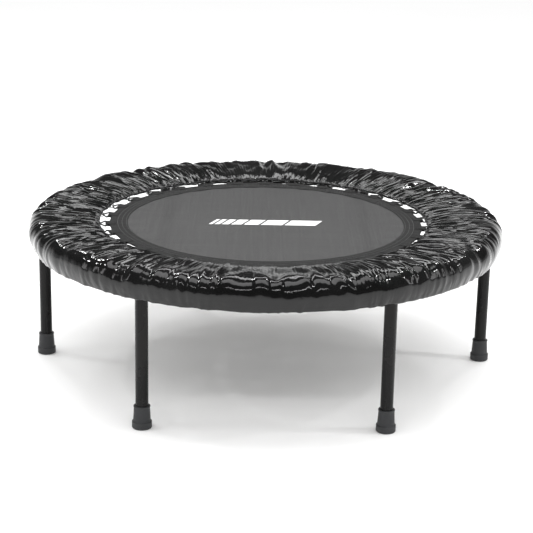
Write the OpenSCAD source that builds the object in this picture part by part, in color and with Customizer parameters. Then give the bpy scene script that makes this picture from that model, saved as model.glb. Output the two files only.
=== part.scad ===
// Mini trampoline: a six-legged round steel frame, a woven jumping mat hung on
// thirty springs, and a foam pad in a gathered cover over the springs.
// Millimetres, +Z up, origin on the floor below the centre of the mat.

/* [Frame] */
// Diameter of the circle the frame tube is bent to, centre to centre
frame_d = 940; // [900:10:980]
// Outside diameter of the frame tube and of the legs
tube_d = 25; // [24:0.5:26]
// Wall thickness of the steel tubes
tube_wall = 1.2; // [1:0.1:1.5]
// Height of the frame tube's centre above the floor
frame_z = 291.5; // [250:0.5:340]

/* [Legs] */
// Height of the welded collar that each leg butts against, below the frame tube
collar_drop = 7; // [5:1:10]
// Diameter of the threaded stud that holds a leg
stud_d = 10; // [8:1:12]
// Depth of thread between the stud and the leg's insert
thread_length = 21; // [15:1.5:30]
// Height of the rubber foot
foot_h = 46; // [40:1:55]
// Widest diameter of the rubber foot
foot_d = 38.4; // [36:0.2:42]
// Thickness of rubber under the end of the leg tube
foot_floor = 5; // [3:1:8]

/* [Springs] */
// Springs in each sector between two legs
springs_per_sector = 5; // [4:1:6]
// Outside diameter of the spring coil
coil_d = 12; // [10:0.5:12]
// Wire of the spring
coil_wire = 2.2; // [1.8:0.1:2.4]
// Wire of the triangular rings and of the welded eyes
ring_wire = 3.5; // [3:0.1:3.6]

/* [Mat] */
// Radius of mat left showing inside its border
mat_open_r = 291.7; // [270:0.1:292]
// Width of the webbing border
border_w = 39.3; // [35:0.1:40]
// Thickness of the woven mat
mat_t = 1; // [0.8:0.1:1.2]
// Thickness of the sewn border, mat included
border_t = 3.6; // [3:0.1:4]
// Height of the mat above the centre of the frame tube
mat_rise = 10.5; // [10:0.1:11]

/* [Pad] */
// Radius of the pad's inner edge
pad_inner_r = 354; // [354:0.5:360]
// How far the covered pad stands off the centre of the frame tube
pad_wrap_r = 26.5; // [26:0.1:28]
// Thickness of the cover
cover_t = 0.6; // [0.5:0.1:0.8]
// Drop of the pad's top from the frame to the inner edge
pad_slope = 5; // [3:0.5:5.5]
// Diameter of the elastic cord in both hems
cord_d = 3.2; // [2.8:0.1:3.4]

/* [Hidden] */
$fn = 96;

// Frame and legs; the nodes below name six evenly spaced legs, the first one on +X
leg_count = 6;
ring_r = frame_d / 2;
tube_r = tube_d / 2;
bore_r = tube_r - tube_wall;
leg_step = 360 / leg_count;
leg_top_z = frame_z - tube_r - collar_drop;
collar_top_z = frame_z - 0.6 * tube_r;
seat_gap = 0.1;
thread_play = 0.05;
stud_low_z = leg_top_z - thread_length - 1;
stud_high_z = frame_z - 3;

// Foot profile
foot_r = foot_d / 2;
foot_neck_r = foot_r - 2.2;
foot_top_r = foot_r - 3.7;
foot_band_h = 15;
foot_bevel = 1.6;
foot_lip_h = 3;

// Mat, rings and springs
bed_z = frame_z + mat_rise;
border_r = mat_open_r + border_w;
mat_r = border_r - 4;
wire_r = ring_wire / 2;
spring_count = leg_count * springs_per_sector;
spring_step = 360 / spring_count;
ring_base_x = border_r + 5;
ring_half_w = 24;
ring_reach = 15;
ring_bend_r = 2.6;
run_overlap = 0.3;
run_relief = 0.1;
ring_angle = atan(ring_reach / ring_half_w);
ring_tip_x = ring_base_x + ring_reach - ring_bend_r * (1 / cos(ring_angle) - 1);
loop_w = 26;
loop_t = 0.8;
loop_gap = border_t / 2 + 0.05;
loop_back = 15;
coil_r = coil_d / 2;
hook_wire_r = coil_wire / 2;
hook_r = coil_r - hook_wire_r - 0.4;
hook_seat = hook_r - hook_wire_r - wire_r - 0.05;
hook_bite = hook_r * 2 / 3;
eye_r = 5;
eye_tip_x = ring_r - tube_r - 5.5;
thread_r = 0.35;
stitch_inset = [3, 12, 21];

// Print on the mat
print_t = 0.15;
print_count = 7;
print_h = 38;
print_slant = 16;
print_y = -8;
print_gap = 5;
print_first_w = 7;
print_growth = 1.45;

// Pad
foam_play = 0.1;
foam_r = pad_wrap_r - cover_t - foam_play;
foam_low_z = bed_z + coil_r + 0.5;
foam_high_z = frame_z + foam_r;
foam_inner_r = pad_inner_r + 4;
foam_gap = 1;
foam_start_angle = 110;
foam_end_angle = -20;
foam_dip = 0.6;
skirt_angle = -30;
cord_r = cord_d / 2;
hem_r = cord_r + 0.05;
hem_out_r = hem_r + cover_t;
hem_drop = 0.2;
inner_hem = [pad_inner_r, foam_low_z + hem_out_r - hem_drop];
outer_hem = [ring_r + tube_r + 4, frame_z - pad_wrap_r + 1.5];

steel = [0.09, 0.09, 0.1];
zinc = [0.72, 0.73, 0.75];
rubber = [0.2, 0.2, 0.22];
webbing = [0.14, 0.14, 0.15];
weave = [0.33, 0.33, 0.34];
vinyl = [0.05, 0.05, 0.06];
foam = [0.85, 0.85, 0.8];
white = [0.95, 0.95, 0.95];

// ---- placing ----

// The children at leg number i
module at_leg(i) {
    rotate([0, 0, i * leg_step])
        translate([ring_r, 0, 0])
            children();
}

// The children at every spring, with +X pointing outwards along the spring
module at_each_spring() {
    for (i = [0 : spring_count - 1])
        rotate([0, 0, (i + 0.5) * spring_step])
            children();
}

// ---- frame ----

module ring_of(r) {
    rotate_extrude()
        translate([ring_r, frame_z])
            circle(r);
}

// The frame tube with one hole below for each leg stud
module frame_ring() {
    color(steel)
        difference() {
            rotate_extrude()
                translate([ring_r, frame_z])
                    difference() {
                        circle(tube_r);
                        circle(bore_r);
                    }
            for (i = [0 : leg_count - 1])
                at_leg(i)
                    translate([0, 0, frame_z - tube_d])
                        cylinder(h = tube_d, d = stud_d);
        }
}

// A collar coped to the frame tube, with the stud that a leg screws on to
module leg_mount(i) {
    color(steel)
        union() {
            difference() {
                at_leg(i)
                    translate([0, 0, leg_top_z])
                        cylinder(h = collar_top_z - leg_top_z, r = tube_r);
                ring_of(tube_r);
            }
            at_leg(i)
                translate([0, 0, stud_low_z])
                    cylinder(h = stud_high_z - stud_low_z, d = stud_d);
        }
}

// ---- legs ----

module leg_tube(i) {
    low_z = foot_floor;
    high_z = leg_top_z - seat_gap;
    color(steel)
        at_leg(i)
            difference() {
                translate([0, 0, low_z])
                    cylinder(h = high_z - low_z, r = tube_r);
                translate([0, 0, low_z - 1])
                    cylinder(h = high_z - low_z + 2, r = bore_r);
            }
}

// The threaded plug pressed into the top of a leg
module leg_insert(i) {
    high_z = leg_top_z - seat_gap;
    color(zinc)
        at_leg(i)
            translate([0, 0, high_z - thread_length])
                difference() {
                    cylinder(h = thread_length, r = bore_r);
                    translate([0, 0, -1])
                        cylinder(h = thread_length + 2, r = stud_d / 2 + thread_play);
                }
}

// The rubber tip: a wide band on the floor, a tapering sleeve and a rolled lip
module leg_foot(i) {
    color(rubber)
        at_leg(i)
            rotate_extrude()
                polygon([
                    [0, 0],
                    [foot_r - foot_bevel, 0],
                    [foot_r, foot_bevel],
                    [foot_r, foot_band_h - foot_bevel],
                    [foot_neck_r, foot_band_h],
                    [foot_top_r, foot_h - foot_lip_h - 1],
                    [foot_top_r + 0.6, foot_h - foot_lip_h],
                    [foot_top_r + 0.6, foot_h - 0.8],
                    [foot_top_r - 0.4, foot_h],
                    [tube_r, foot_h],
                    [tube_r, foot_floor],
                    [0, foot_floor]
                ]);
}

// ---- springs ----

// A straight run of ring wire along a heading in the XY plane, a little thinner and
// longer than its place, so that its ends lie inside the bends they join
module wire_run(start, heading, length) {
    translate([start[0], start[1], 0])
        rotate([0, 0, heading])
            translate([-run_overlap, 0, 0])
                rotate([0, 90, 0])
                    cylinder(h = length + 2 * run_overlap, r = wire_r - run_relief);
}

// A bend to the left in ring wire, from a start point and heading
module wire_bend(start, heading, turn, bend_r) {
    translate([start[0], start[1], 0])
        rotate([0, 0, heading])
            translate([0, bend_r, 0])
                rotate([0, 0, -90])
                    rotate_extrude(angle = turn)
                        translate([bend_r, 0])
                            circle(wire_r);
}

// A welded U of wire on the inside of the frame tube, one for each spring
module spring_eyes() {
    leg_x = eye_tip_x + eye_r;
    leg_length = ring_r - sqrt(pow(tube_r, 2) - pow(mat_rise, 2)) - leg_x;
    color(steel)
        at_each_spring()
            translate([0, 0, bed_z])
                union() {
                    wire_run([leg_x + leg_length, eye_r], 180, leg_length);
                    wire_bend([leg_x, eye_r], 180, 180, eye_r);
                    wire_run([leg_x, -eye_r], 0, leg_length);
                }
}

// A closed loop of spring wire standing on edge, centred at x
module spring_hook(x) {
    translate([x, 0, 0])
        rotate([90, 0, 0])
            rotate_extrude()
                translate([hook_r, 0])
                    circle(hook_wire_r);
}

// Close-wound springs: the coil is a sleeve, with a hook loop at each end
module springs() {
    inner_x = ring_tip_x + hook_seat;
    outer_x = eye_tip_x - hook_seat;
    coil_start = inner_x + hook_bite;
    coil_end = outer_x - hook_bite;
    color(zinc)
        at_each_spring()
            translate([0, 0, bed_z])
                union() {
                    translate([coil_start, 0, 0])
                        rotate([0, 90, 0])
                            difference() {
                                cylinder(h = coil_end - coil_start, r = coil_r);
                                translate([0, 0, -1])
                                    cylinder(
                                        h = coil_end - coil_start + 2,
                                        r = coil_r - coil_wire
                                    );
                            }
                    spring_hook(inner_x);
                    spring_hook(outer_x);
                }
}

// Triangular wire rings between the mat's webbing loops and the springs
module v_rings() {
    base_turn = 180 - ring_angle;
    tip_turn = 2 * ring_angle;
    base_cut = ring_bend_r * tan(base_turn / 2);
    tip_cut = ring_bend_r * tan(tip_turn / 2);
    base_run = 2 * (ring_half_w - base_cut);
    side_run = norm([ring_reach, ring_half_w]) - base_cut - tip_cut;
    out = [cos(90 - ring_angle), sin(90 - ring_angle)];
    back = [-out[0], out[1]];
    corner_low = [ring_base_x, -ring_half_w];
    corner_high = [ring_base_x, ring_half_w];
    tip = [ring_base_x + ring_reach, 0];
    color(zinc)
        at_each_spring()
            translate([0, 0, bed_z])
                union() {
                    wire_run(corner_high - [0, base_cut], -90, base_run);
                    wire_bend(corner_low + [0, base_cut], -90, base_turn, ring_bend_r);
                    wire_run(corner_low + out * base_cut, 90 - ring_angle, side_run);
                    wire_bend(tip - out * tip_cut, 90 - ring_angle, tip_turn, ring_bend_r);
                    wire_run(tip + back * tip_cut, 90 + ring_angle, side_run);
                    wire_bend(
                        corner_high - back * base_cut,
                        90 + ring_angle,
                        base_turn,
                        ring_bend_r
                    );
                }
}

// ---- mat ----

// Webbing loops sewn over the border's edge, each holding one ring
module ring_loops() {
    plate_x = border_r - loop_back;
    color(webbing)
        at_each_spring()
            translate([0, loop_w / 2, bed_z])
                rotate([90, 0, 0])
                    linear_extrude(loop_w)
                        difference() {
                            union() {
                                translate([plate_x, -loop_gap - loop_t])
                                    square([
                                        ring_base_x - plate_x,
                                        2 * (loop_gap + loop_t)
                                    ]);
                                translate([ring_base_x, 0])
                                    circle(loop_gap + loop_t);
                            }
                            translate([plate_x - 1, -loop_gap])
                                square([ring_base_x - plate_x + 1, 2 * loop_gap]);
                            translate([ring_base_x, 0])
                                circle(loop_gap);
                        }
}

module mat() {
    color(weave)
        translate([0, 0, bed_z - mat_t / 2])
            cylinder(h = mat_t, r = mat_r);
}

// Webbing folded over the mat's edge: a U in section
module mat_border() {
    color(webbing)
        rotate_extrude()
            difference() {
                translate([mat_open_r, bed_z - border_t / 2])
                    square([border_w, border_t]);
                translate([mat_open_r - 1, bed_z - mat_t / 2])
                    square([mat_r - mat_open_r + 1, mat_t]);
            }
}

// Rows of thread on both faces of the border
module border_stitching() {
    color(webbing)
        for (inset = stitch_inset, side = [-1, 1])
            rotate_extrude()
                translate([
                    mat_open_r + inset,
                    bed_z + side * (border_t / 2 + thread_r)
                ])
                    circle(thread_r, $fn = 16);
}

// Width of print bar number i, and where it starts
function bar_w(i) = print_first_w * pow(print_growth, i);
function bar_x(i) = i == 0 ? 0 : bar_x(i - 1) + bar_w(i - 1) + print_gap;

// Slanted bars that grow from left to right, printed on the mat
module mat_print() {
    half = (bar_x(print_count - 1) + bar_w(print_count - 1) + print_slant) / 2;
    color(white)
        translate([-half, print_y - print_h / 2, bed_z + mat_t / 2])
            linear_extrude(print_t)
                for (i = [0 : print_count - 1])
                    translate([bar_x(i), 0])
                        polygon([
                            [0, 0],
                            [bar_w(i), 0],
                            [bar_w(i) + print_slant, print_h],
                            [print_slant, print_h]
                        ]);
}

// ---- pad ----

// The wedge round the frame tube's centre from a start angle, past the top, down to
// an end angle on the outside
module wrap_sector(start_angle, end_angle) {
    reach = 2 * pad_wrap_r;
    polygon([
        [0, 0],
        [reach * cos(start_angle), reach * sin(start_angle)],
        [reach, reach],
        [reach, 0],
        [reach * cos(end_angle), reach * sin(end_angle)]
    ]);
}

// Foam between the springs and the cover, bent over the frame tube
module foam_section() {
    translate([ring_r, frame_z])
        intersection() {
            difference() {
                circle(foam_r);
                circle(tube_r + 0.5);
            }
            wrap_sector(foam_start_angle, foam_end_angle);
        }
    polygon([
        [foam_inner_r, foam_low_z],
        [ring_r, foam_low_z],
        [ring_r, foam_high_z - foam_dip],
        [foam_inner_r, foam_high_z - pad_slope]
    ]);
}

// One foam segment for each sector, starting over a leg
module pad_foam(i) {
    gap_angle = atan(foam_gap / ring_r);
    color(foam)
        rotate([0, 0, i * leg_step + gap_angle / 2])
            rotate_extrude(angle = leg_step - gap_angle)
                foam_section();
}

// A hem tunnel round a cord at the origin, open along the side at slit_angle
module hem_section(slit_angle) {
    difference() {
        circle(hem_out_r);
        circle(hem_r);
        rotate(slit_angle)
            translate([0, -hem_r / 4])
                square([2 * hem_out_r, hem_r / 2]);
    }
}

// A strip of cover between two points, with its thickness to the left and a little
// more length, so that it joins the next strip
module strip(from, to) {
    along = (to - from) / norm(to - from);
    side = [-along[1], along[0]] * cover_t;
    end = to + along * cover_t / 2;
    polygon([from, end, end + side, from + side]);
}

// The cover's section: top, round the outside of the foam, skirt and two hems
module cover_section() {
    crest = [ring_r + 0.01, frame_z + pad_wrap_r - cover_t];
    inner_top = [foam_inner_r - 1, crest[1] - pad_slope];
    shoulder = [cos(skirt_angle), sin(skirt_angle)] * (pad_wrap_r - cover_t);
    skirt_top = [ring_r, frame_z] + shoulder;
    translate([ring_r, frame_z])
        intersection() {
            difference() {
                circle(pad_wrap_r);
                circle(pad_wrap_r - cover_t);
            }
            wrap_sector(90, skirt_angle);
        }
    strip(inner_top, crest);
    strip(inner_hem + [0, hem_r + 0.1], inner_top);
    strip(skirt_top, outer_hem + [hem_r + cover_t / 2, 0.5]);
    translate(inner_hem)
        hem_section(0);
    translate(outer_hem)
        hem_section(180);
}

module pad_cover() {
    color(vinyl)
        rotate_extrude()
            cover_section();
}

module cord_at(place) {
    color(webbing)
        rotate_extrude()
            translate(place)
                circle(cord_r);
}

// ---- nodes ----

frame_ring();
leg_mount(0);  // leg_mount_1
leg_mount(1);  // leg_mount_2
leg_mount(2);  // leg_mount_3
leg_mount(3);  // leg_mount_4
leg_mount(4);  // leg_mount_5
leg_mount(5);  // leg_mount_6
leg_tube(0);  // leg_tube_1
leg_tube(1);  // leg_tube_2
leg_tube(2);  // leg_tube_3
leg_tube(3);  // leg_tube_4
leg_tube(4);  // leg_tube_5
leg_tube(5);  // leg_tube_6
leg_insert(0);  // leg_insert_1
leg_insert(1);  // leg_insert_2
leg_insert(2);  // leg_insert_3
leg_insert(3);  // leg_insert_4
leg_insert(4);  // leg_insert_5
leg_insert(5);  // leg_insert_6
leg_foot(0);  // leg_foot_1
leg_foot(1);  // leg_foot_2
leg_foot(2);  // leg_foot_3
leg_foot(3);  // leg_foot_4
leg_foot(4);  // leg_foot_5
leg_foot(5);  // leg_foot_6
spring_eyes();
springs();
v_rings();
ring_loops();
mat();
mat_border();
border_stitching();
mat_print();
pad_foam(0);  // pad_foam_1
pad_foam(1);  // pad_foam_2
pad_foam(2);  // pad_foam_3
pad_foam(3);  // pad_foam_4
pad_foam(4);  // pad_foam_5
pad_foam(5);  // pad_foam_6
pad_cover();
cord_at(inner_hem);  // inner_cord
cord_at(outer_hem);  // outer_cord
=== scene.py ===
"""Mini trampoline: soft parts, springs, materials, floor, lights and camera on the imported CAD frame."""

import math

import bpy
import numpy as np
from mathutils import Matrix, Vector, noise


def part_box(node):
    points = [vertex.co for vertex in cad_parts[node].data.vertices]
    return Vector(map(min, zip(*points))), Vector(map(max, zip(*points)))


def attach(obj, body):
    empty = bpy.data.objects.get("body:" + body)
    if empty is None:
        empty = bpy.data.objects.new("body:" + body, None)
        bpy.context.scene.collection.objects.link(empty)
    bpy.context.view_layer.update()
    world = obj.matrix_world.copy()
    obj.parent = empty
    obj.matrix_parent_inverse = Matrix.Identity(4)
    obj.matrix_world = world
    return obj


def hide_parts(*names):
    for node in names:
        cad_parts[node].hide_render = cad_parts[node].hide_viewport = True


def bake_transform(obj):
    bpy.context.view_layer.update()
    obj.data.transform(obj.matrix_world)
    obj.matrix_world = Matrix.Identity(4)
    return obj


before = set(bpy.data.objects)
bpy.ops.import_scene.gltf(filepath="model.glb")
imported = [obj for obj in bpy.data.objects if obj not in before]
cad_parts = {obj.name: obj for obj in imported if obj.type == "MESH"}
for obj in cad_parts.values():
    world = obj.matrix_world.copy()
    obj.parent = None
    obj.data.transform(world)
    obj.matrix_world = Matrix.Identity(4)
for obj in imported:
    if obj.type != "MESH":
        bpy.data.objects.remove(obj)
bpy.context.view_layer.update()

MM = 0.001


# ---- sizes read from the frame, in metres ----


def inner_radius(node):
    """The smallest distance from the middle axis to a CAD node."""
    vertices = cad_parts[node].data.vertices
    return min(math.hypot(vertex.co.x, vertex.co.y) for vertex in vertices)


tube_low, tube_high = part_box("frame_ring")
TUBE_R = (tube_high.z - tube_low.z) / 2
RING_Z = (tube_high.z + tube_low.z) / 2
RING_R = tube_high.x - TUBE_R

inner_low, inner_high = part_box("inner_cord")
CORD_R = (inner_high.z - inner_low.z) / 2
INNER_HEM_R = inner_high.x - CORD_R
INNER_HEM_Z = (inner_high.z + inner_low.z) / 2

outer_low, outer_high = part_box("outer_cord")
OUTER_HEM_R = outer_high.x - CORD_R
OUTER_HEM_Z = (outer_high.z + outer_low.z) / 2

cover_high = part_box("pad_cover")[1]
WRAP_R = cover_high.z - RING_Z

mat_low, mat_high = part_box("mat")
MAT_R = mat_high.x
MAT_TOP = mat_high.z
MAT_T = mat_high.z - mat_low.z
BED_Z = (mat_high.z + mat_low.z) / 2

border_low, border_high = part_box("mat_border")
BORDER_R = border_high.x
BORDER_T = border_high.z - border_low.z
MAT_OPEN_R = inner_radius("mat_border")

# One spring lies along +Y, so the +Y sides of these boxes are the outer ends on that spring
loop_low, loop_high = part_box("ring_loops")
LOOP_REACH = (loop_high.z - loop_low.z) / 2
RING_BASE_R = loop_high.y - LOOP_REACH
v_ring_low, v_ring_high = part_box("v_rings")
RING_WIRE_R = (v_ring_high.z - v_ring_low.z) / 2
RING_TIP_R = v_ring_high.y - RING_WIRE_R
spring_low, spring_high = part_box("springs")
COIL_R = (spring_high.z - spring_low.z) / 2
SPRING_END_R = spring_high.y

LEGS = sum(name.startswith("leg_tube_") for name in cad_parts)
SPRINGS_PER_SECTOR = 5
SPRINGS = LEGS * SPRINGS_PER_SECTOR
SPRING_STEP = 2 * math.pi / SPRINGS
SPRING_WIRE_R = 1.1 * MM

# A spring's end hook is a little narrower than its coil, and rests against the ring's tip
HOOK_INSET = 0.4 * MM
HOOK_PLAY = 0.05 * MM
HOOK_R = COIL_R - SPRING_WIRE_R - HOOK_INSET
SPRING_START_R = RING_TIP_R - 2 * SPRING_WIRE_R - RING_WIRE_R - HOOK_PLAY


# ---- mesh building ----


def mesh_object(name, points, faces):
    """A smooth-shaded mesh object from points and faces, linked to the scene."""
    mesh = bpy.data.meshes.new(name)
    mesh.from_pydata([tuple(p) for p in points], [], [tuple(f) for f in faces])
    mesh.update()
    mesh.shade_smooth()
    obj = bpy.data.objects.new(name, mesh)
    bpy.context.scene.collection.objects.link(obj)
    return obj


def grid_faces(columns, rows, around, along, first=0, flip=False):
    """Quads of a grid of points stored column by column; around and along close it."""
    column = np.arange(columns if around else columns - 1)
    row = np.arange(rows if along else rows - 1)
    c, r = np.meshgrid(column, row, indexing="ij")
    c2, r2 = (c + 1) % columns, (r + 1) % rows
    corners = [c * rows + r, c2 * rows + r, c2 * rows + r2, c * rows + r2]
    if flip:
        corners.reverse()
    return np.stack(corners, -1).reshape(-1, 4) + first


def tube_faces(columns, rows, closed=False, first=0, flip=False):
    """Faces of a tube of columns, each a loop of rows points, with capped ends unless closed."""
    faces = grid_faces(columns, rows, closed, True, first, flip).tolist()
    if not closed:
        last = first + (columns - 1) * rows
        near, far = list(range(first, first + rows)), list(range(last, last + rows))
        faces += [near[::-1], far] if flip else [near, far[::-1]]
    return faces


def revolve(section, angles):
    """Points of a section (r, z) at each angle about Z, column by column."""
    section = np.asarray(section)
    r, z = section[:, 0], section[:, 1]
    x = np.outer(np.cos(angles), r)
    y = np.outer(np.sin(angles), r)
    return np.stack([x, y, np.broadcast_to(z, x.shape)], -1).reshape(-1, 3)


def turn_angles(count):
    return np.linspace(0, 2 * math.pi, count, endpoint=False)


def arc(center, radius, start, end, count):
    """Points (r, z) on an arc, angles in degrees."""
    a = np.radians(np.linspace(start, end, count))
    return np.stack([center[0] + radius * np.cos(a), center[1] + radius * np.sin(a)], -1)


def path_lengths(path):
    steps = np.linalg.norm(np.diff(path, axis=0), axis=1)
    return np.concatenate([[0], np.cumsum(steps)])


def resample(path, lengths):
    """Points of a path at the given distances along it."""
    along = path_lengths(path)
    return np.stack([np.interp(lengths, along, path[:, k]) for k in range(path.shape[1])], -1)


def unit(vectors):
    return vectors / np.linalg.norm(vectors, axis=-1, keepdims=True)


def wire_sides(path, closed):
    """Two directions across a path at each of its points, turning as little as they can."""
    if closed:
        tangent = unit(np.roll(path, -1, 0) - np.roll(path, 1, 0))
    else:
        tangent = unit(np.gradient(path, axis=0))
    side = np.zeros_like(path)
    current = np.cross(tangent[0], (0.0, 0.0, 1.0))
    if np.linalg.norm(current) < 0.1:
        current = np.cross(tangent[0], (0.0, 1.0, 0.0))
    for i, heading in enumerate(tangent):
        current = unit(current - heading * np.dot(current, heading))
        side[i] = current
    return side, np.cross(tangent, side)


def wire_mesh(paths, radius, sides, closed=False):
    """Points and faces of round wires along paths, with capped ends unless closed."""
    all_points, all_faces, first = [], [], 0
    ring = turn_angles(sides)[None, :, None]
    for path in paths:
        path = np.asarray(path, float)
        side, up = wire_sides(path, closed)
        offset = side[:, None] * np.cos(ring) + up[:, None] * np.sin(ring)
        all_points.append((path[:, None] + offset * radius).reshape(-1, 3))
        all_faces += tube_faces(len(path), sides, closed, first, flip=True)
        first += len(path) * sides
    return np.concatenate(all_points), all_faces


def spin(points, angle):
    """Points turned about Z."""
    c, s = math.cos(angle), math.sin(angle)
    return np.asarray(points) @ np.array([[c, s, 0], [-s, c, 0], [0, 0, 1]])


def spring_angles():
    return [(i + 0.5) * SPRING_STEP for i in range(SPRINGS)]


def spring_wave(angles):
    """1 at every spring and -1 halfway between two."""
    return np.cos(SPRINGS * (angles - SPRING_STEP / 2))


def add_vectors(obj, name, values):
    """A vector stored on every point, for materials to read."""
    attribute = obj.data.attributes.new(name, "FLOAT_VECTOR", "POINT")
    attribute.data.foreach_set("vector", np.asarray(values, np.float32).ravel())


def paint(obj, material):
    obj.data.materials.clear()
    obj.data.materials.append(material)


def finish_piece(obj, material, node, body):
    """Gives a piece its material, hides the CAD node it stands for and attaches it to its body."""
    paint(obj, material)
    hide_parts(node)
    if body:
        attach(obj, body)


# ---- material building ----


def fill(tree, socket, value):
    """Links a socket to another node's output, or sets its value."""
    if isinstance(value, bpy.types.NodeSocket):
        tree.links.new(value, socket)
    else:
        socket.default_value = value


def add_node(tree, kind, settings=None, inputs=None):
    """A node with its settings, and its inputs set or linked."""
    node = tree.nodes.new(kind)
    for key, value in (settings or {}).items():
        setattr(node, key, value)
    for key, value in (inputs or {}).items():
        fill(tree, node.inputs[key], value)
    return node


def math_node(tree, operation, a, b=0.0):
    return add_node(tree, "ShaderNodeMath", {"operation": operation}, {0: a, 1: b}).outputs[0]


def mix_colors(tree, factor, a, b):
    node = add_node(tree, "ShaderNodeMix", {"data_type": "RGBA"}, {0: factor, 6: a, 7: b})
    return node.outputs[2]


def gray(value, tint=(1.0, 1.0, 1.0)):
    return (value * tint[0], value * tint[1], value * tint[2], 1.0)


def noise_node(tree, vector, scale, detail=3.0, roughness=0.55):
    inputs = {"Vector": vector, "Scale": scale, "Detail": detail, "Roughness": roughness}
    return add_node(tree, "ShaderNodeTexNoise", None, inputs).outputs[0]


def range_node(tree, value, from_low, from_high, to_low, to_high):
    inputs = {0: value, 1: from_low, 2: from_high, 3: to_low, 4: to_high}
    return add_node(tree, "ShaderNodeMapRange", None, inputs).outputs[0]


def stretch(tree, vector, scale):
    """The vector scaled by a different amount along each axis."""
    return add_node(tree, "ShaderNodeMapping", None, {"Vector": vector, "Scale": scale}).outputs[0]


def bump_node(tree, height, distance, strength=1.0, below=None):
    inputs = {"Height": height, "Distance": distance, "Strength": strength}
    if below is not None:
        inputs["Normal"] = below
    return add_node(tree, "ShaderNodeBump", None, inputs).outputs[0]


def crease_height(tree, vector, scale):
    """Flat facets that meet in sharp creases."""
    settings = {"feature": "DISTANCE_TO_EDGE"}
    cells = add_node(tree, "ShaderNodeTexVoronoi", settings, {"Vector": vector, "Scale": scale})
    return math_node(tree, "MINIMUM", cells.outputs[0], 0.35)


def object_coords(tree):
    return add_node(tree, "ShaderNodeTexCoord").outputs["Object"]


def attribute_vector(tree, name):
    return add_node(tree, "ShaderNodeAttribute", {"attribute_name": name}).outputs["Vector"]


def split(tree, vector):
    return add_node(tree, "ShaderNodeSeparateXYZ", None, {0: vector}).outputs


def wave(tree, coordinate, length):
    """A sine wave of the given length along one coordinate."""
    return math_node(tree, "SINE", math_node(tree, "MULTIPLY", coordinate, 2 * math.pi / length))


def start_material(name, inputs):
    """A new material, its node tree and its main shader."""
    material = bpy.data.materials.new(name)
    material.use_nodes = True
    tree = material.node_tree
    shader = tree.nodes["Principled BSDF"]
    for key, value in inputs.items():
        shader.inputs[key].default_value = value
    return material, tree, shader


def connect(tree, shader, color, roughness, normal=None):
    tree.links.new(color, shader.inputs["Base Color"])
    tree.links.new(roughness, shader.inputs["Roughness"])
    if normal is not None:
        tree.links.new(normal, shader.inputs["Normal"])


# ---- materials ----

WEAVE_TAPE = 2.4 * MM
LAP_SEAM_X = 207 * MM
LAP_HALF_W = 12.5 * MM
RIB_WIDTH = 1.8 * MM


def film_material():
    """Thin glossy black vinyl, creased all over and pleated towards the inner hem."""
    material, tree, shader = start_material("film", {"Specular IOR Level": 0.4})
    drape = attribute_vector(tree, "drape")
    place = object_coords(tree)
    along = split(tree, drape)[2]
    stretched = stretch(tree, drape, (1.0, 1.0, 0.3))
    sway = add_node(tree, "ShaderNodeTexNoise", None, {"Vector": place, "Scale": 14.0})
    bend = {0: 0.06, 4: stretched, 5: sway.outputs["Color"]}
    bent = add_node(tree, "ShaderNodeMix", {"data_type": "VECTOR"}, bend).outputs[1]
    creases = crease_height(tree, bent, 30.0)
    wrinkles = crease_height(tree, bent, 75.0)
    crumple = noise_node(tree, place, 60.0, 4.0, 0.6)
    near_hem = range_node(tree, along, 0.012, 0.05, 1.0, 0.15)
    pleats = math_node(tree, "MULTIPLY", noise_node(tree, stretched, 110.0, 2.0, 0.5), near_hem)
    dust = range_node(tree, noise_node(tree, place, 9.0), 0.4, 0.7, 0.0, 1.0)
    color = mix_colors(tree, dust, gray(0.004), gray(0.009))
    rough = range_node(tree, crumple, 0.35, 0.7, 0.07, 0.16)
    normal = bump_node(tree, creases, 3 * MM, 0.35)
    normal = bump_node(tree, wrinkles, 1 * MM, 0.35, normal)
    normal = bump_node(tree, crumple, 1 * MM, 0.25, normal)
    normal = bump_node(tree, pleats, 3 * MM, 0.7, normal)
    connect(tree, shader, color, rough, normal)
    return material


def weave_height(tree, place):
    """Warp and weft tapes passing over each other, from -1 to 1."""
    x, y, _ = split(tree, place)
    return math_node(tree, "MULTIPLY", wave(tree, x, WEAVE_TAPE), wave(tree, y, WEAVE_TAPE))


def lap_seams(tree, place):
    """1 on the two seams where widths of the mat overlap, 0 elsewhere."""
    x = math_node(tree, "ABSOLUTE", split(tree, place)[0])
    aside = math_node(tree, "ABSOLUTE", math_node(tree, "SUBTRACT", x, LAP_SEAM_X))
    return range_node(tree, aside, LAP_HALF_W - 1 * MM, LAP_HALF_W + 1 * MM, 1.0, 0.0)


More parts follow.
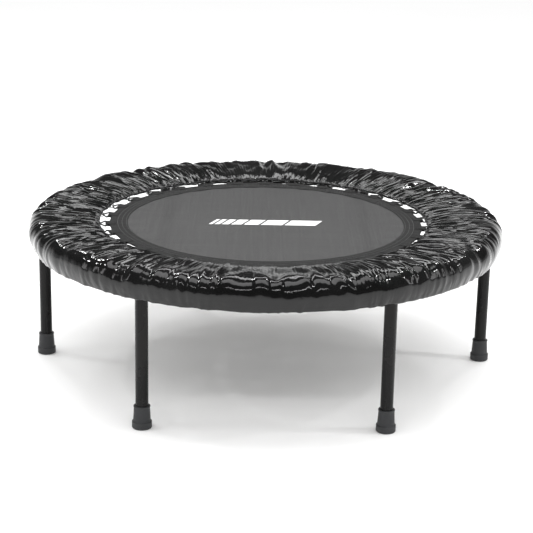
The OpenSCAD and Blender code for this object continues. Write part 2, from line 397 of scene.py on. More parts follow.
def woven_material():
    """Flat woven polypropylene: crossing tapes with painted shade in their dips, darker where two widths
    overlap.
    """
    inputs = {"Sheen Weight": 0.05, "Specular IOR Level": 0.3}
    material, tree, shader = start_material("woven", inputs)
    place = object_coords(tree)
    weave = weave_height(tree, place)
    lengthwise = noise_node(tree, stretch(tree, place, (260.0, 5.0, 1.0)), 1.0, 2.0)
    crosswise = noise_node(tree, stretch(tree, place, (5.0, 260.0, 1.0)), 1.0, 2.0)
    fibre = math_node(tree, "MULTIPLY", math_node(tree, "ADD", lengthwise, crosswise), 0.5)
    # painted shade: the colour follows the weave's height, lighter on the raised tapes and darker in the
    # dips between them; the fibre streaks are real tone
    shade_and_fibre = range_node(tree, weave, -1.0, 1.0, 0.1, 0.7)
    shade_and_fibre = math_node(tree, "ADD", shade_and_fibre, math_node(tree, "MULTIPLY", fibre, 0.2))
    color = mix_colors(tree, shade_and_fibre, gray(0.03), gray(0.056))
    lapped = math_node(tree, "MULTIPLY", lap_seams(tree, place), 0.45)
    color = mix_colors(tree, lapped, color, gray(0.026))
    clouds = range_node(tree, noise_node(tree, place, 5.0), 0.35, 0.65, 0.0, 0.25)
    color = mix_colors(tree, clouds, color, gray(0.057))
    rough = range_node(tree, fibre, 0.3, 0.7, 0.42, 0.6)
    connect(tree, shader, color, rough, bump_node(tree, weave, 0.3 * MM, 0.8))
    return material


def ink_material():
    """White screen print over the weave, thin at the crossings."""
    material, tree, shader = start_material("ink", {})
    place = object_coords(tree)
    weave = weave_height(tree, place)
    wear = noise_node(tree, place, 180.0, 4.0, 0.7)
    thin = range_node(tree, math_node(tree, "ADD", weave, wear), -0.6, 0.1, 0.5, 0.0)
    color = mix_colors(tree, thin, gray(0.86), gray(0.5))
    rough = range_node(tree, wear, 0.3, 0.7, 0.5, 0.7)
    connect(tree, shader, color, rough, bump_node(tree, weave, 0.25 * MM, 0.8))
    return material


def webbing_material(name, dark, light):
    """Ribbed black webbing, with painted shade in the grooves between its ribs; the attribute holds
    places along and across it.
    """
    inputs = {"Sheen Weight": 0.04, "Specular IOR Level": 0.2}
    material, tree, shader = start_material(name, inputs)
    along, across, _ = split(tree, attribute_vector(tree, "sheet"))
    picks = math_node(tree, "MULTIPLY", wave(tree, along, 2 * RIB_WIDTH), 0.5)
    weave = math_node(tree, "ADD", wave(tree, across, RIB_WIDTH), picks)
    fuzz = noise_node(tree, object_coords(tree), 320.0)
    # painted shade: the colour follows the ribs' height, darker in the grooves between them; the fuzz is
    # real tone
    shade_and_fibre = range_node(tree, weave, -1.5, 1.5, 0.0, 0.8)
    shade_and_fibre = math_node(tree, "ADD", shade_and_fibre, math_node(tree, "MULTIPLY", fuzz, 0.3))
    color = mix_colors(tree, shade_and_fibre, gray(dark), gray(light))
    normal = bump_node(tree, weave, 0.3 * MM, 0.8)
    normal = bump_node(tree, fuzz, 0.2 * MM, 0.5, normal)
    connect(tree, shader, color, range_node(tree, fuzz, 0.3, 0.7, 0.55, 0.75), normal)
    return material


def steel_material():
    """Satin black powder coat with a fine orange peel and rubbed spots."""
    material, tree, shader = start_material("powder_coat", {"Specular IOR Level": 0.18})
    place = object_coords(tree)
    patches = noise_node(tree, place, 14.0, 4.0)
    rubbed = range_node(tree, patches, 0.4, 0.7, 0.0, 1.0)
    color = mix_colors(tree, rubbed, gray(0.005), gray(0.009, (1.1, 1.0, 0.97)))
    rough = range_node(tree, patches, 0.3, 0.7, 0.2, 0.34)
    peel = noise_node(tree, place, 900.0, 2.0)
    connect(tree, shader, color, rough, bump_node(tree, peel, 0.12 * MM, 0.5))
    return material


def zinc_material():
    """Bright zinc-plated wire, drawn along its length, a little dulled."""
    material, tree, shader = start_material("zinc", {"Metallic": 1.0})
    place = object_coords(tree)
    stain = noise_node(tree, place, 60.0, 4.0)
    color = mix_colors(tree, stain, gray(0.34, (1.0, 0.98, 0.94)), gray(0.62, (0.98, 1.0, 1.03)))
    rough = range_node(tree, stain, 0.3, 0.7, 0.22, 0.42)
    grain = noise_node(tree, place, 1400.0, 2.0)
    connect(tree, shader, color, rough, bump_node(tree, grain, 0.06 * MM, 0.5))
    return material


def dark_wire_material():
    """Black-oxide wire of the triangular rings, worn a little brighter in places."""
    material, tree, shader = start_material("dark_wire", {"Metallic": 0.8})
    place = object_coords(tree)
    wear = noise_node(tree, place, 90.0, 4.0)
    worn = range_node(tree, wear, 0.45, 0.75, 0.0, 1.0)
    color = mix_colors(tree, worn, gray(0.03), gray(0.16))
    rough = range_node(tree, wear, 0.3, 0.7, 0.28, 0.45)
    grain = noise_node(tree, place, 1200.0, 2.0)
    connect(tree, shader, color, rough, bump_node(tree, grain, 0.08 * MM, 0.5))
    return material


def rubber_material():
    """Charcoal moulded rubber with a fine grain and scuffs near the floor."""
    material, tree, shader = start_material("rubber", {"Specular IOR Level": 0.35})
    place = object_coords(tree)
    cool = (0.97, 1.0, 1.06)
    scuffs = noise_node(tree, place, 55.0, 5.0, 0.7)
    near_floor = range_node(tree, split(tree, place)[2], 0.0, 0.02, 1.0, 0.0)
    scuffed = range_node(tree, scuffs, 0.5, 0.7, 0.0, 0.6)
    color = mix_colors(tree, scuffs, gray(0.023, cool), gray(0.038, cool))
    color = mix_colors(tree, math_node(tree, "MULTIPLY", near_floor, scuffed), color, gray(0.085))
    rough = range_node(tree, scuffs, 0.3, 0.7, 0.45, 0.65)
    grain = noise_node(tree, place, 700.0)
    connect(tree, shader, color, rough, bump_node(tree, grain, 0.15 * MM, 0.7))
    return material


def thread_material():
    """Twisted black thread."""
    material, tree, shader = start_material("thread", {"Sheen Weight": 0.3})
    twist = noise_node(tree, object_coords(tree), 1500.0, 2.0)
    color = mix_colors(tree, twist, gray(0.03), gray(0.075))
    rough = range_node(tree, twist, 0.3, 0.7, 0.5, 0.7)
    connect(tree, shader, color, rough, bump_node(tree, twist, 0.1 * MM, 0.8))
    return material


def foam_material():
    """Open-cell foam, with painted shade in its pores."""
    material, tree, shader = start_material("foam", {"Specular IOR Level": 0.2})
    place = object_coords(tree)
    cells = add_node(tree, "ShaderNodeTexVoronoi", None, {"Vector": place, "Scale": 600.0}).outputs[0]
    tone = noise_node(tree, place, 12.0)
    color = mix_colors(tree, tone, gray(0.62, (1.0, 0.97, 0.88)), gray(0.78, (1.0, 0.98, 0.92)))
    # painted shade: the colour is darkened in the foam's cell pattern, standing for shade in its pores
    pore_shade = math_node(tree, "MULTIPLY", cells, 0.4)
    color = mix_colors(tree, pore_shade, color, gray(0.35, (1.0, 0.96, 0.85)))
    rough = range_node(tree, cells, 0.0, 0.6, 0.8, 0.95)
    connect(tree, shader, color, rough, bump_node(tree, cells, 0.6 * MM, 0.8))
    return material


def elastic_material():
    """Braided elastic cord, with painted shade between its strands; the attribute holds angles along and
    round it.
    """
    material, tree, shader = start_material("elastic", {"Sheen Weight": 0.3})
    along, across, _ = split(tree, attribute_vector(tree, "sheet"))
    one = math_node(tree, "SINE", math_node(tree, "ADD", along, across))
    two = math_node(tree, "SINE", math_node(tree, "SUBTRACT", along, across))
    braid = math_node(tree, "MAXIMUM", one, two)
    # painted shade: the colour follows the braid's height, darker between the strands
    color = mix_colors(tree, range_node(tree, braid, -1.0, 1.0, 0.0, 1.0), gray(0.015), gray(0.05))
    fuzz = noise_node(tree, object_coords(tree), 900.0, 2.0)
    rough = range_node(tree, fuzz, 0.3, 0.7, 0.55, 0.75)
    connect(tree, shader, color, rough, bump_node(tree, braid, 0.3 * MM, 0.7))
    return material


def floor_material():
    """A pale studio floor, a little uneven in tone."""
    material, tree, shader = start_material("floor", {"Specular IOR Level": 0.0})
    tone = noise_node(tree, object_coords(tree), 1.5, 2.0)
    color = mix_colors(tree, tone, gray(0.93), gray(0.95))
    connect(tree, shader, color, range_node(tree, tone, 0.3, 0.7, 0.5, 0.6))
    return material


# ---- cover ----

FILM_T = 0.5 * MM
FILM_COLUMNS = 1040
FILM_ROWS = 48

# Rows in each hem, the hem's tunnel, and how far the inner hem is drawn in and hangs down
HEM_ROWS = 5
HEM_R = CORD_R + 0.6 * MM
HEM_SHIFT = 4.4 * MM
HEM_SHIFT_TURN = math.radians(20)
HEM_WANDER = 3 * MM
HEM_DROP = 2.6 * MM
HEM_SAG = 1.6 * MM
HEM_REACH = 45 * MM

# The padded form the film lies on: round outside the frame, sloping down inside it
FORM_R = WRAP_R - 1.8 * MM
FORM_INNER_R = INNER_HEM_R + 5 * MM
FORM_DROP = 4.4 * MM
FORM_SLOPE = FORM_DROP / (RING_R - FORM_INNER_R)

# Where the film first leaves the inner hem and lies on the form's inner edge
SHOULDER_R = INNER_HEM_R + 6 * MM
SHOULDER_Z = RING_Z + WRAP_R - 4.2 * MM

# Room under the film over the rings and over the springs, and how soon it rises to a hook
RING_ROOM = 0.8 * MM
SPRING_ROOM = 0.3 * MM
HOOK_APPROACH = 8 * MM

# The film is cut as a straight band with extra length, a little uneven round the pad
BAND_R = (RING_R + WRAP_R) * 1.07
UNEVEN = 0.06
SMALLEST_EASE = 1.008
FILM_SLACK = 1.03

SETTLE_STEPS = 180
MOST_LIFT = 11 * MM
STRAIGHTNESS = 0.35
SLANT_SHARE = 0.3
SAG = 0.01 * MM

# From the inner hem (place 0) to the outer one (place 1): heights of the wide folds, of the
# ruffle at the hems and of the crumples; then how stiff the film is round the pad and how
# well it keeps its first folds, both as shares of the way in each step
FOLDS = {
    "place": [0.0, 0.15, 0.45, 0.62, 0.72, 0.8, 0.9, 1.0],
    "wide_mm": [5.0, 9.0, 12.0, 12.0, 11.0, 6.0, 2.6, 1.5],
    "ruffle_mm": [4.5, 1.6, 0.3, 0.2, 0.1, 0.4, 1.0, 1.4],
    "crumple_mm": [0.5, 1.5, 2.5, 4.0, 3.4, 1.6, 0.9, 0.4],
    "stiff": [0.04, 0.06, 0.08, 0.08, 0.08, 0.1, 0.1, 0.06],
    "keep": [0.0, 0.02, 0.04, 0.05, 0.05, 0.05, 0.04, 0.02],
}


def folding(name, section):
    """One of the fold values at every row of the section."""
    along = path_lengths(section)
    return np.interp(along / along[-1], FOLDS["place"], FOLDS[name])


def film_section():
    """Rows (r, z) of the cover from the inner hem over the pad to the outer hem, and which are hem."""
    inner = arc((INNER_HEM_R, INNER_HEM_Z), HEM_R, -45, -270, HEM_ROWS)
    outer = arc((OUTER_HEM_R, OUTER_HEM_Z), HEM_R, 0, -225, HEM_ROWS)
    round_side = arc((RING_R, RING_Z), WRAP_R, 90, -30, 24)
    main = np.concatenate([[inner[-1], [SHOULDER_R, SHOULDER_Z]], round_side, outer[:1]])
    lengths = np.linspace(0, path_lengths(main)[-1], FILM_ROWS - 2 * HEM_ROWS + 2)
    section = np.concatenate([inner, resample(main, lengths)[1:-1], outer])
    in_hem = np.ones(FILM_ROWS, bool)
    in_hem[HEM_ROWS:-HEM_ROWS] = False
    return section, in_hem


def hem_inset(angles):
    """How far inwards the gathered inner hem lies at each angle: most at the back right."""
    noises = [noise.noise(Vector((1.5 * math.cos(a), 1.5 * math.sin(a), 4.4))) for a in angles]
    shift = 2 * HEM_SHIFT * np.abs(np.cos((angles - HEM_SHIFT_TURN) / 2))
    return shift + HEM_WANDER * (0.5 + np.array(noises))


def hem_sag(angles):
    """How far the inner hem hangs down on the rings, a little more between them."""
    return HEM_DROP + HEM_SAG / 2 * (1 - spring_wave(angles))


def film_noise(angles, along, waves, length, seed, lean=0.0):
    """Repeatable noise on the film: waves round it, a feature length along it, leaning folds."""
    values = np.empty((len(angles), len(along)))
    radius = waves / (2 * math.pi)
    for i, a in enumerate(angles):
        sway = lean * noise.noise(Vector((4 * math.cos(a), 4 * math.sin(a), seed)))
        for j, s in enumerate(along):
            turn = a + sway * s / RING_R
            x, y = radius * math.cos(turn), radius * math.sin(turn)
            values[i, j] = noise.noise(Vector((x + seed, y, s / length + seed)))
    return values


def ridges(values):
    """Noise turned into sharp crests, from 0 to 1."""
    return np.clip(1 - 2.2 * np.abs(values), 0, 1)


def fold_lift(section, in_hem, angles):
    """How far the film first stands off the pad at every point."""
    along = path_lengths(section)
    wide = ridges(film_noise(angles, along, 44, 0.16, 3.1, 2.2))
    puffs = np.abs(film_noise(angles, along, 62, 0.09, 38.6, 1.6)) * 2
    ruffle = ridges(film_noise(angles, along, 120, 0.08, 13.3, 0.5))
    crumple = ridges(film_noise(angles, along, 70, 0.04, 11.7))
    lift = folding("wide_mm", section) * (0.55 * wide + 0.45 * puffs)
    lift += folding("ruffle_mm", section) * ruffle
    lift += folding("crumple_mm", section) * crumple
    return MM * np.where(in_hem, 1.8 * ruffle, lift)


def lay_film(section, in_hem, angles):
    """The film laid over the pad in its first folds, as (columns, rows, 3)."""
    points = revolve(section, angles).reshape(len(angles), len(section), 3)
    tangent = unit(np.gradient(section, axis=0))
    lift = fold_lift(section, in_hem, angles)
    fade = np.clip(1 - path_lengths(section) / HEM_REACH, 0, 1)
    fade = np.where(in_hem & (fade > 0), 1, fade)
    outward = -lift * tangent[:, 1] - np.outer(hem_inset(angles), fade)
    radial = np.stack([np.cos(angles), np.sin(angles)], -1)
    points[:, :, :2] += outward[..., None] * radial[:, None]
    points[:, :, 2] += lift * tangent[:, 0] - np.outer(hem_sag(angles), fade**4)
    return points


def pull(a, b, rest, share):
    """Moves the ends of every thread a-b towards their length apart, in place."""
    gap = b - a
    length = np.linalg.norm(gap, axis=-1, keepdims=True)
    step = gap * (share / 2 * (1 - rest / np.maximum(length, 1e-9)))
    a += step
    b -= step


def pull_columns(points, around, slant):
    """Threads and diagonals between each even column and the next one."""
    even, odd = points[0::2], points[1::2]
    pull(even, odd, around, 1.0)
    pull(even[:, :-1], odd[:, 1:], slant, SLANT_SHARE)
    pull(even[:, 1:], odd[:, :-1], slant, SLANT_SHARE)


def press_out(points):
    """Keeps the film outside the pad and under its greatest height, in place."""
    r = np.linalg.norm(points[:, :, :2], axis=2)
    x, z = r - RING_R, points[:, :, 2] - RING_Z
    over = x < 0
    top = FORM_R + np.maximum(x, FORM_INNER_R - RING_R) * FORM_SLOPE
    flat_z = np.clip(z, np.where(r > FORM_INNER_R, top, z), FORM_R + MOST_LIFT)
    distance = np.hypot(x, z)
    grow = np.clip(distance, FORM_R, FORM_R + MOST_LIFT) / np.maximum(distance, 1e-9)
    new_r = np.where(over, r, RING_R + x * grow)
    points[:, :, 2] = RING_Z + np.where(over & (z > 0), flat_z, np.where(over, z, z * grow))
    points[:, :, :2] *= (new_r / r)[..., None]


def band_widths(angles, section):
    """Length of film round each column and row, fuller in some places than in others."""
    cut_r = np.maximum(BAND_R, SMALLEST_EASE * section[:, 0])
    bunch = [noise.noise(Vector((5 * math.cos(a), 5 * math.sin(a), 9.1))) for a in angles]
    return np.outer(1 + UNEVEN * np.array(bunch), 2 * math.pi * cut_r / len(angles))[..., None]


def settle(points, section, in_hem, angles):
    """Cloth simulation by position: the film, cut as a band, is gathered over the pad and buckles."""
    around = band_widths(angles, section)
    along = (np.diff(path_lengths(section)) * FILM_SLACK)[None, :, None]
    slant = np.hypot((around[:, 1:] + around[:, :-1]) / 2, along)
    stiff = folding("stiff", section)[None, :, None]
    keep = folding("keep", section)[None, :, None]
    laid = points.copy()
    for _ in range(SETTLE_STEPS):
        for _ in range(2):
            pull_columns(points, around[::2], slant[::2])
            points = np.roll(points, 1, 0)
        points = np.roll(points, -2, 0)
        pull(points[:, 0:-1:2], points[:, 1::2], along[:, 0::2], 1.0)
        pull(points[:, 1:-1:2], points[:, 2::2], along[:, 1::2], 1.0)
        middle = (np.roll(points, 1, 0) + np.roll(points, -1, 0)) / 2
        points += stiff * (middle - points)
        middle = (points[:, 2:] + points[:, :-2]) / 2
        points[:, 1:-1] += STRAIGHTNESS * (middle - points[:, 1:-1])
        points[:, :, 2] -= SAG
        points += keep * (laid - points)
        points[:, in_hem] = laid[:, in_hem]
        press_out(points)
    return points


def lift_clear(points):
    """Keeps the inner side of the film off the springs and rings below it."""
    r = np.linalg.norm(points[:, :, :2], axis=2)
    turn = np.arctan2(points[:, :, 1], points[:, :, 0])
    aside = np.abs((turn % SPRING_STEP) - SPRING_STEP / 2) * r
    near_spring = np.interp(aside, [COIL_R + 2 * MM, 3 * COIL_R], [1, 0])
    on_spring = np.interp(r, [SPRING_START_R - HOOK_APPROACH, SPRING_START_R], [0, 1])
    over_ring = BED_Z + RING_WIRE_R + RING_ROOM
    over_spring = BED_Z + COIL_R + SPRING_ROOM
    lowest = over_ring + (over_spring - over_ring) * near_spring * on_spring
    inside = r < RING_R - TUBE_R
    points[:, :, 2] = np.where(inside, np.maximum(points[:, :, 2], lowest), points[:, :, 2])


def grid_normals(points):
    """Outward unit normals of a closed ring of film, (columns, rows, 3)."""
    around = np.roll(points, -1, 0) - np.roll(points, 1, 0)
    along = np.gradient(points, axis=1)
    return unit(np.cross(along, around))


def thicken(name, points, thickness):
    """A closed sheet of film from a grid of points, the given thickness inwards."""
    columns, rows = points.shape[:2]
    inside = points - grid_normals(points) * thickness
    both = np.concatenate([points.reshape(-1, 3), inside.reshape(-1, 3)])
    first = columns * rows
    faces = [
        grid_faces(columns, rows, True, False, 0, flip=True),
        grid_faces(columns, rows, True, False, first),
    ]
    here = np.arange(columns) * rows
    after = np.roll(here, -1)
    edge = [here, after, first + after, first + here]
    faces.append(np.stack(edge, -1))
    faces.append(np.stack(edge[::-1], -1) + rows - 1)
    return mesh_object(name, both, np.concatenate(faces).tolist())


def make_cover(material):
    """The gathered film cover over the pad."""
    section, in_hem = film_section()
    angles = turn_angles(FILM_COLUMNS)
    points = lay_film(section, in_hem, angles)
    points = settle(points, section, in_hem, angles)
    lift_clear(points)
    cover = thicken("cover", points, FILM_T)
    along = np.tile(path_lengths(section), FILM_COLUMNS)
    turn = np.repeat(angles, FILM_ROWS)
    middle_r = (INNER_HEM_R + RING_R) / 2
    drape = np.stack([middle_r * np.cos(turn), middle_r * np.sin(turn), along], -1)
    add_vectors(cover, "drape", np.concatenate([drape, drape]))
    finish_piece(cover, material, "pad_cover", "frame")


CORD_STEPS = 480
CORD_SIDES = 10
CORD_PLAIT = 4 * MM
CORD_RIPPLE = 0.25 * MM


def make_cord(name, radius, height, inset, sag, material, node):
    """An elastic cord in a hem, as far inwards and as low as its hem is."""
    angles = turn_angles(CORD_STEPS)
    out = radius + CORD_RIPPLE * np.sin(31 * angles) - inset(angles)
    shade_and_fibre = height + CORD_RIPPLE * np.sin(23 * angles) - sag(angles)
    path = np.stack([out * np.cos(angles), out * np.sin(angles), shade_and_fibre], -1)
    points, faces = wire_mesh([path], CORD_R, CORD_SIDES, closed=True)
    cord = mesh_object(name, points, faces)
    plaits = round(2 * math.pi * radius / CORD_PLAIT)
    u = np.repeat(angles * plaits, CORD_SIDES)
    v = np.tile(turn_angles(CORD_SIDES) * 2, len(angles))
    add_vectors(cord, "sheet", np.stack([u, v, np.zeros_like(u)], -1))
    finish_piece(cord, material, node, "frame")


# ---- foam ----

FOAM_SOFT_EDGE = 1.5 * MM
FOAM_GAP = 1.2 * MM
FOAM_STEPS = 64
FOAM_R = FORM_R - 0.5 * MM
FOAM_LOW_Z = BED_Z + COIL_R + 0.7 * MM
FOAM_HIGH_Z = RING_Z + FOAM_R - 4.6 * MM
FOAM_BORE_R = TUBE_R + 0.8 * MM


def foam_outline():
    """Section (r, z) of the foam: flat over the springs, round over the frame tube."""
    soft = FOAM_SOFT_EDGE
    parts = [
        arc((FORM_INNER_R + soft, FOAM_LOW_Z + soft), soft, -90, -180, 4),
        arc((FORM_INNER_R + soft, FOAM_HIGH_Z - soft), soft, 180, 95, 4),
        arc((RING_R, RING_Z), FOAM_R, 92, -20, 18),
        arc((RING_R, RING_Z), FOAM_BORE_R, -20, 89, 12),
        [[RING_R - 1 * MM, FOAM_LOW_Z]],
    ]
    return np.concatenate(parts)


def make_foam(material):
    """Foam segments with soft edges, one for each sector between legs."""
    outline = foam_outline()
    step = 2 * math.pi / LEGS
    half_gap = FOAM_GAP / 2 / RING_R
    for i in range(LEGS):
        angles = np.linspace(i * step + half_gap, (i + 1) * step - half_gap, FOAM_STEPS)
        faces = tube_faces(FOAM_STEPS, len(outline), flip=True)
        foam = mesh_object(f"foam_{i + 1}", revolve(outline, angles), faces)
        finish_piece(foam, material, f"pad_foam_{i + 1}", "frame")


# ---- mat and border ----

MAT_COLUMNS = 360
MAT_WAVE = 0.35 * MM
MAT_STILL_R = 0.75 * MAT_OPEN_R

# The mat's rows of points are wide apart over the flat middle and close where the springs draw it
MAT_RADII = np.concatenate([np.linspace(0.01, 0.2, 14), np.linspace(0.21, MAT_R, 26)])
MAT_ROWS = len(MAT_RADII)

BORDER_COLUMNS = 720
BORDER_RIPPLE = 0.12 * MM
SCALLOP = 0.8 * MM
SCALLOP_REACH = 12 * MM
STITCH_ROWS = [3 * MM, 12 * MM, 21 * MM]
STITCH_LENGTH = 5 * MM
STITCH_PITCH = 6.75 * MM
STITCH_PRESS = 0.35 * MM
STITCH_PRESS_WIDTH = 1.1 * MM
THREAD_R = 0.35 * MM


def make_mat(material):
    """The woven mat, drawn into shallow waves by the springs near its border."""
    angles = turn_angles(MAT_COLUMNS)
    drawn = np.clip((MAT_RADII - MAT_STILL_R) / (MAT_OPEN_R - MAT_STILL_R), 0, 1) ** 2
    fade = np.clip((MAT_R - MAT_RADII) / (MAT_R - MAT_OPEN_R), 0, 1)
    waves = MAT_WAVE * np.outer(spring_wave(angles), drawn * fade)
    top = revolve(np.stack([MAT_RADII, np.full_like(MAT_RADII, MAT_TOP)], -1), angles)
    top[:, 2] += waves.ravel()
    low = top - [0, 0, MAT_T]
    center = [[0, 0, MAT_TOP], [0, 0, MAT_TOP - MAT_T]]
    count = len(top)
    faces = grid_faces(MAT_COLUMNS, MAT_ROWS, True, False, flip=True).tolist()
    faces += grid_faces(MAT_COLUMNS, MAT_ROWS, True, False, count).tolist()
    for k in range(MAT_COLUMNS):
        here, there = k * MAT_ROWS, (k + 1) % MAT_COLUMNS * MAT_ROWS
        faces.append([2 * count, here, there])
        faces.append([2 * count + 1, count + there, count + here])
        edge, next_edge = here + MAT_ROWS - 1, there + MAT_ROWS - 1
        faces.append([edge, count + edge, count + next_edge, next_edge])
    mat = mesh_object("mat_sheet", np.concatenate([top, low, center]), faces)
    finish_piece(mat, material, "mat", "bed")


def border_section():
    """The folded webbing's outline: flat faces, a round outer fold, thin inner edges."""
    half = BORDER_T / 2
    inner, outer = MAT_OPEN_R, BORDER_R
    slot_half = MAT_T / 2 + 0.5 * MM
    upper = [
        [inner, slot_half],
        [inner + 0.3 * MM, half - 0.4 * MM],
        [inner + 1.2 * MM, half - 0.1 * MM],
    ]
    flat = [[r, half] for r in np.linspace(inner + 3 * MM, outer - 3 * MM, 14)]
    fold = arc((outer - half, 0), half, 75, -75, 9).tolist()
    lower = [[r, -z] for r, z in (upper + flat)[::-1]]
    inside = [[MAT_R + 0.4 * MM, -slot_half], [MAT_R + 0.4 * MM, slot_half]]
    return np.array(upper + flat + fold + lower + inside)


def make_border(material):
    """The webbing border, pressed in along its stitch rows and scalloped by the rings."""
    section = border_section()
    angles = turn_angles(BORDER_COLUMNS)
    r, z = section[:, 0], section[:, 1]
    from_rows = [(r - MAT_OPEN_R - inset) / STITCH_PRESS_WIDTH for inset in STITCH_ROWS]
    press = STITCH_PRESS * sum(np.exp(-(distance**2)) for distance in from_rows)
    z = np.where(np.abs(z) > 1.2 * MM, z - np.sign(z) * press, z)
    outward = np.clip((r - BORDER_R) / SCALLOP_REACH + 1, 0, 1) ** 2
    grown = r + SCALLOP * np.outer(spring_wave(angles) - 1, outward)
    ripple = BORDER_RIPPLE * np.outer(np.sin(3 * SPRINGS * angles + 1.3), np.abs(z) > 1 * MM)
    x = grown * np.cos(angles)[:, None]
    y = grown * np.sin(angles)[:, None]
    points = np.stack([x, y, BED_Z + z + ripple * np.sign(z)], -1).reshape(-1, 3)
    faces = grid_faces(BORDER_COLUMNS, len(section), True, True, flip=True)
    border = mesh_object("border", points, faces.tolist())
    pick = 2 * RIB_WIDTH
    length = round(2 * math.pi * BORDER_R / pick) * pick
    u = np.repeat(angles / (2 * math.pi) * length, len(section))
    v = np.tile(section[:, 0], BORDER_COLUMNS)
    add_vectors(border, "sheet", np.stack([u, v, np.zeros_like(u)], -1))
    finish_piece(border, material, "mat_border", "bed")


def make_stitches(material):
    """Rows of separate stitches sunk into both faces of the border."""
    paths = []
    for inset in STITCH_ROWS:
        r = MAT_OPEN_R + inset
        half = STITCH_LENGTH / 2 / r
        for a in turn_angles(round(2 * math.pi * r / STITCH_PITCH)):
            turn = a + np.array([-1, -0.7, 0.7, 1]) * half
            for side in (-1, 1):
                base = BED_Z + side * (BORDER_T / 2 - 0.2 * MM)
                height = base + side * np.array([-0.3, 0.35, 0.35, -0.3]) * MM
                paths.append(np.stack([r * np.cos(turn), r * np.sin(turn), height], -1))
    points, faces = wire_mesh(paths, THREAD_R, 4)
    stitches = mesh_object("stitches", points, faces)
    finish_piece(stitches, material, "border_stitching", "bed")


# ---- webbing loops ----

LOOP_W = 26 * MM
LOOP_BACK = 15 * MM
LOOP_T = LOOP_REACH - BORDER_T / 2 - 0.05 * MM


def loop_middle():
    """Middle line (x, z) of a webbing loop: over the border, round the ring, and back."""
    half = LOOP_REACH - LOOP_T / 2
    over = [[x, half] for x in np.linspace(BORDER_R - LOOP_BACK, RING_BASE_R - 1 * MM, 8)]
    bend = arc((RING_BASE_R, 0), half, 80, -80, 9).tolist()
    under = [[x, -z] for x, z in over[::-1]]
    return np.array(over + bend + under)


def make_loops(material):
    """Webbing loops, each a folded strap with soft edges, round the base of a ring."""
    middle = loop_middle()
    count = len(middle)
    tangent = unit(np.gradient(middle, axis=0))
    out = np.stack([-tangent[:, 1], tangent[:, 0]], -1)
    across = np.array([-1, -0.96, -0.6, -0.2, 0.2, 0.6, 0.96, 1]) * LOOP_W / 2
    half_t = np.array([0.35, 0.9, 1, 1, 1, 1, 0.9, 0.35]) * LOOP_T / 2
    ring_y = np.concatenate([across, across[::-1]])
    ring_lift = np.concatenate([half_t, -half_t[::-1]])
    sides = len(ring_y)
    place = middle[:, None] + out[:, None] * ring_lift[None, :, None]
    y = np.broadcast_to(ring_y, place.shape[:2])
    strap = np.stack([place[..., 0], y, BED_Z + place[..., 1]], -1).reshape(-1, 3)
    along = np.repeat(path_lengths(middle), sides)
    sheet = np.stack([along, np.tile(ring_y, count), np.zeros_like(along)], -1)
    points, faces = [], []
    for n, angle in enumerate(spring_angles()):
        first = n * len(strap)
        points.append(spin(strap, angle))
        faces += tube_faces(count, sides, first=first)
    loops = mesh_object("loops", np.concatenate(points), faces)
    add_vectors(loops, "sheet", np.tile(sheet, (SPRINGS, 1)))
    finish_piece(loops, material, "ring_loops", "bed")


# ---- springs ----

COIL_PITCH = 2.06 * SPRING_WIRE_R
COIL_STEPS = 10
HOOK_BITE = 0.9 * HOOK_R


def hook_path(center_x, direction):
    """An open end hook in the XZ plane, from its tip round to the top, in direction +1 or -1."""
    a = np.radians(np.linspace(-35, -270, 22))
    x = center_x + direction * HOOK_R * np.cos(a)
    return np.stack([x, np.zeros_like(a), HOOK_R * np.sin(a)], -1)


def spring_path():
    """One wound spring along +X with a hook at each end."""
    inner_x = SPRING_START_R + HOOK_R + SPRING_WIRE_R
    outer_x = SPRING_END_R - HOOK_R - SPRING_WIRE_R
    start, end = inner_x + HOOK_BITE, outer_x - HOOK_BITE
    coil_r = COIL_R - SPRING_WIRE_R
    turns = int((end - start) / COIL_PITCH)
    t = np.linspace(0, 1, turns * COIL_STEPS + 1)
    phase = 2 * math.pi * turns * t
    coil = np.stack([start + (end - start) * t, coil_r * np.sin(phase), coil_r * np.cos(phase)], -1)
    return np.concatenate([hook_path(inner_x, 1), coil, hook_path(outer_x, -1)[::-1]])


def make_springs(material):
    """All springs as one wound mesh."""
    path = spring_path() + [0, 0, BED_Z]
    paths = [spin(path, a) for a in spring_angles()]
    points, faces = wire_mesh(paths, SPRING_WIRE_R, 6)
    springs = mesh_object("springs_wound", points, faces)
    finish_piece(springs, material, "springs", None)
    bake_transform(springs)


# ---- carried CAD nodes ----

FOOT_SOFTNESS = 0.6 * MM


def soften(obj, width):
    """Rounds a CAD node's hard edges in the render."""
    bevel = obj.modifiers.new("soft_edges", "BEVEL")
    bevel.width = width
    bevel.segments = 2
    bevel.limit_method = "ANGLE"
    bevel.angle_limit = math.radians(25)
    bevel.harden_normals = False


def paint_cad_nodes(steel, zinc, dark_wire, rubber, ink):
    """Materials for the CAD nodes that are shown as they are."""
    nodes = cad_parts
    paint(nodes["frame_ring"], steel)
    paint(nodes["spring_eyes"], steel)
    paint(nodes["v_rings"], dark_wire)
    paint(nodes["mat_print"], ink)
    for i in range(1, LEGS + 1):
        paint(nodes[f"leg_mount_{i}"], steel)
        paint(nodes[f"leg_tube_{i}"], steel)
        paint(nodes[f"leg_insert_{i}"], zinc)
        paint(nodes[f"leg_foot_{i}"], rubber)
        soften(nodes[f"leg_foot_{i}"], FOOT_SOFTNESS)


# ---- floor, lights, camera ----

FLOOR_HALF = 30.0

CAMERA_DISTANCE = 3.428
CAMERA_ELEVATION = math.radians(20.35)
CAMERA_TURN = math.radians(-0.59)
CAMERA_PITCH = math.radians(17.11)
CAMERA_YAW = math.radians(0.06)
CAMERA_ROLL = math.radians(1.15)
CAMERA_LENS = 106.2
CAMERA_SENSOR = 36.0


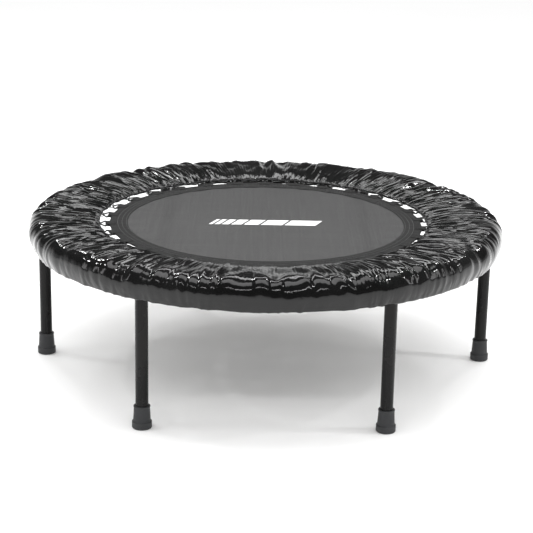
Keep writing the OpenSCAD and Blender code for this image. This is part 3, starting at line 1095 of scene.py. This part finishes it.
def make_floor():
    """The floor the feet stand on, out to the horizon."""
    half = FLOOR_HALF
    points = [(-half, -half, 0), (half, -half, 0), (half, half, 0), (-half, half, 0)]
    floor = mesh_object("floor", points, [(0, 1, 2, 3)])
    paint(floor, floor_material())


def make_light(name, place, size, brightness):
    """A soft box facing the object, as bright in a reflection as the number given."""
    light = bpy.data.lights.new(name, "AREA")
    light.shape = "RECTANGLE"
    light.size, light.size_y = size
    light.energy = brightness * math.pi * size[0] * size[1]
    obj = bpy.data.objects.new(name, light)
    obj.location = place
    aim = Vector((0, 0, RING_Z)) - Vector(place)
    obj.rotation_euler = aim.to_track_quat("-Z", "Y").to_euler()
    bpy.context.scene.collection.objects.link(obj)


def make_lights():
    """Soft boxes above and beside the object, and four small lamps for glints on the film."""
    make_light("front_strip", (0, -2.6, 2.6), (3.2, 0.12), 18)
    make_light("ceiling_box", (0, 0.1, 3.0), (3.2, 1.6), 3.0)
    make_light("back_strip", (0, 2.6, 2.6), (3.6, 0.5), 4.4)
    make_light("left_box", (-3.4, -0.8, 1.6), (0.6, 2.2), 3.2)
    make_light("right_box", (3.4, -0.6, 1.6), (0.6, 2.2), 3.2)
    for place in ((-1.6, 2.2, 2.6), (1.7, 2.0, 2.8), (-2.2, 0.6, 2.6), (2.4, -0.4, 2.6)):
        make_light("spark", place, (0.14, 0.14), 160)


def make_world():
    """A white studio; reflections see a bright backdrop near the horizon and darkness above it."""
    world = bpy.data.worlds.new("studio")
    bpy.context.scene.world = world
    world.use_nodes = True
    tree = world.node_tree
    back = tree.nodes["Background"]
    direction = add_node(tree, "ShaderNodeTexCoord").outputs["Generated"]
    _, depth, height = split(tree, direction)
    low_sky = range_node(tree, height, 0.05, 0.3, 0.8, 0.0)
    behind = range_node(tree, depth, -0.2, 0.5, 0.06, 1.0)
    reflected = math_node(tree, "ADD", 0.07, math_node(tree, "MULTIPLY", low_sky, behind))
    glossy = add_node(tree, "ShaderNodeLightPath").outputs["Is Glossy Ray"]
    plain = math_node(tree, "SUBTRACT", 1.0, glossy)
    strength = math_node(tree, "ADD", plain, math_node(tree, "MULTIPLY", glossy, reflected))
    back.inputs["Color"].default_value = gray(1.0)
    tree.links.new(strength, back.inputs["Strength"])


def make_camera():
    """The camera at the photographed angle, standing slightly left of the -Y axis."""
    data = bpy.data.cameras.new("camera")
    data.lens = CAMERA_LENS
    data.sensor_width = CAMERA_SENSOR
    camera = bpy.data.objects.new("camera", data)
    out = Vector((0, -math.cos(CAMERA_ELEVATION), math.sin(CAMERA_ELEVATION)))
    turned = Matrix.Rotation(CAMERA_TURN, 4, "Z")
    yaw = Matrix.Rotation(-CAMERA_YAW, 4, "Z")
    pitch = Matrix.Rotation(math.pi / 2 - CAMERA_PITCH, 4, "X")
    roll = Matrix.Rotation(CAMERA_ROLL, 4, "Z")
    camera.matrix_world = turned @ Matrix.Translation(out * CAMERA_DISTANCE) @ yaw @ pitch @ roll
    bpy.context.scene.collection.objects.link(camera)
    bpy.context.scene.camera = camera


# ---- build ----

bpy.context.scene.view_settings.view_transform = "Standard"
zinc = zinc_material()
elastic = elastic_material()
make_cover(film_material())
make_cord("inner_elastic", INNER_HEM_R, INNER_HEM_Z, hem_inset, hem_sag, elastic, "inner_cord")
make_cord("outer_elastic", OUTER_HEM_R, OUTER_HEM_Z, np.zeros_like, np.zeros_like, elastic, "outer_cord")
make_foam(foam_material())
make_mat(woven_material())
make_border(webbing_material("webbing", 0.007, 0.015))
make_stitches(thread_material())
make_loops(webbing_material("strap", 0.006, 0.014))
make_springs(zinc)
paint_cad_nodes(steel_material(), zinc, dark_wire_material(), rubber_material(), ink_material())
make_floor()
make_world()
make_lights()
make_camera()
